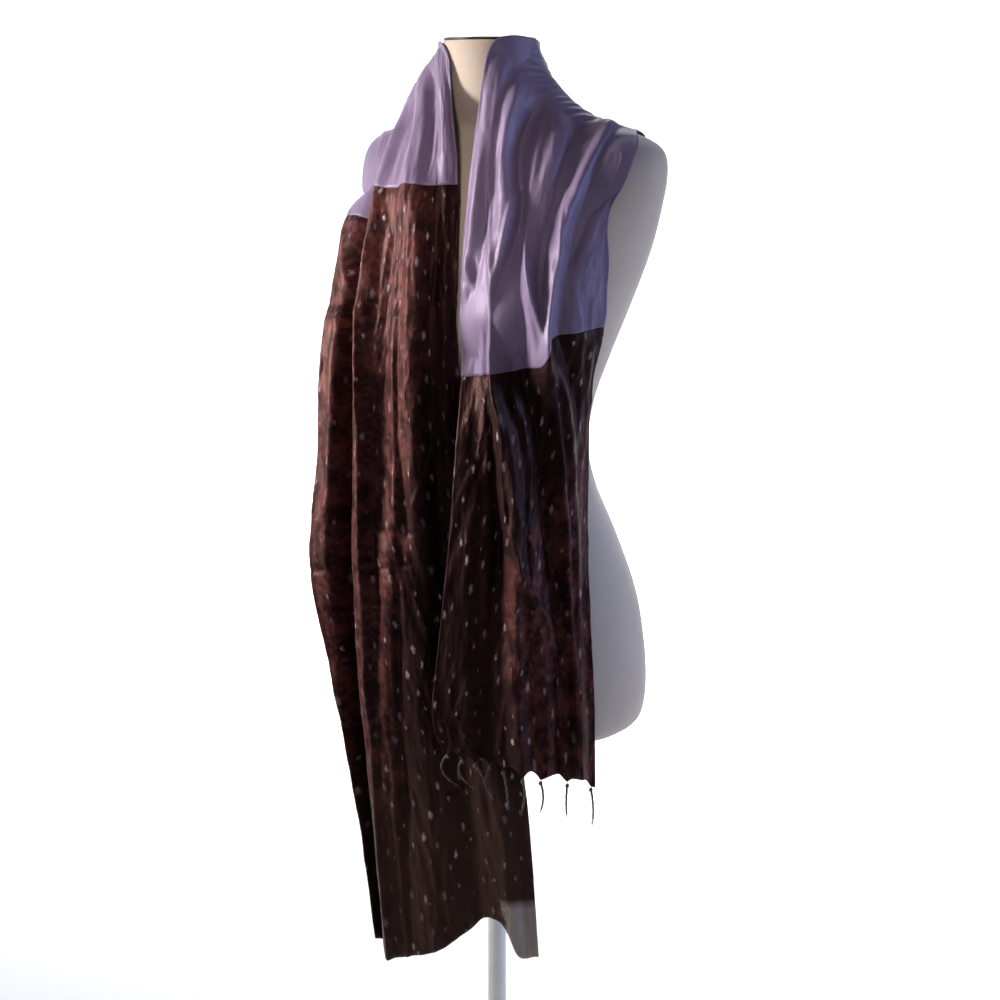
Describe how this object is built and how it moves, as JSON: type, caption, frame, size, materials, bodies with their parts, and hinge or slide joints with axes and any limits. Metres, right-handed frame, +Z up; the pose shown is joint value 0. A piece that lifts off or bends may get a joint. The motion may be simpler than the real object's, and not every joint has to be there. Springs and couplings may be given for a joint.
{
  "type": "long silk scarf on a limbless dress form",
  "caption": "Long satin scarf with tie-dyed ends and a tasselled hem, hung round the neck of a limbless dress form on a round stand.",
  "frame": {"origin": "centre of the stand base's underside, on the pole's axis", "axes": "+Z up; the form faces -Y; the form's left side is +X"},
  "size_m": [0.34, 0.3037, 1.1489],
  "materials": {
    "stand_metal": "smooth white paint, slight gloss",
    "form_jersey": "matt cream jersey stretched over padding",
    "neck_plate": "dark satin cap",
    "lilac_satin": "lilac silk satin with a soft sheen",
    "brown_silk": "dark maroon brown silk, tie-dyed with small pale dots, coppery sheen"
  },
  "bodies": {
    "root": {"stand_base": "stand_metal", "stand_pole": "stand_metal", "form_torso": "form_jersey", "form_neck_plate": "neck_plate", "scarf_end_long": "brown_silk", "scarf_lilac_right": "lilac_satin", "scarf_lilac_nape": "lilac_satin", "scarf_lilac_left": "lilac_satin", "scarf_end_short": "brown_silk", "scarf_fringe": "brown_silk"}
  },
  "joints": []
}
